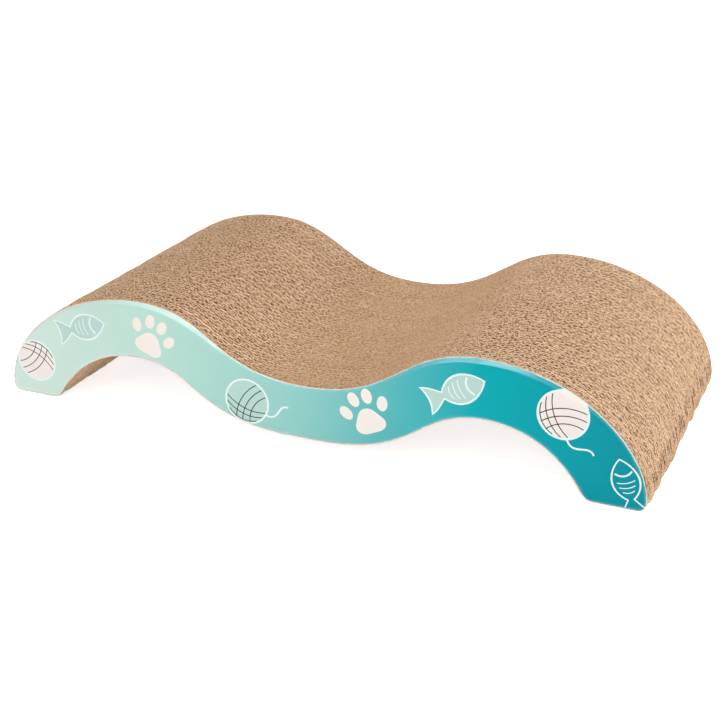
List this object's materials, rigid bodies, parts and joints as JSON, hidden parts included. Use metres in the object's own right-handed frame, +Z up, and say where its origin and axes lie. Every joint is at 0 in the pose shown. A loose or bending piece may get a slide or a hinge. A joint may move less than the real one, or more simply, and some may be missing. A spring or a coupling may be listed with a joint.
{
  "type": "cat scratcher lounge",
  "caption": "Wavy cat scratching lounge: a glued stack of upright corrugated boards with two humps, a hollow between them, two arched feet and printed side covers.",
  "frame": {"origin": "on the floor, under the middle of the stack's length and width", "axes": "+X along the length, across the two humps; +Y from the front cover to the back cover, through the stack; +Z up"},
  "size_m": [0.5, 0.239, 0.0905],
  "materials": {
    "kraft_board": "raw brown corrugated board with open cut flutes",
    "printed_cover": "semi-gloss print, pale mint running into deep teal"
  },
  "bodies": {
    "root": {"front_cover_sheet": "printed_cover", "back_cover_sheet": "printed_cover", "board_01": "kraft_board", "board_02": "kraft_board", "board_03": "kraft_board", "board_04": "kraft_board", "board_05": "kraft_board", "board_06": "kraft_board", "board_07": "kraft_board", "board_08": "kraft_board", "board_09": "kraft_board", "board_10": "kraft_board", "board_11": "kraft_board", "board_12": "kraft_board", "board_13": "kraft_board", "board_14": "kraft_board", "board_15": "kraft_board", "board_16": "kraft_board", "board_17": "kraft_board", "board_18": "kraft_board", "board_19": "kraft_board", "board_20": "kraft_board", "board_21": "kraft_board", "board_22": "kraft_board", "board_23": "kraft_board", "board_24": "kraft_board", "board_25": "kraft_board", "board_26": "kraft_board", "board_27": "kraft_board", "board_28": "kraft_board", "board_29": "kraft_board", "board_30": "kraft_board", "board_31": "kraft_board", "board_32": "kraft_board", "board_33": "kraft_board", "board_34": "kraft_board", "board_35": "kraft_board", "board_36": "kraft_board", "board_37": "kraft_board", "board_38": "kraft_board", "board_39": "kraft_board", "board_40": "kraft_board"}
  },
  "joints": []
}
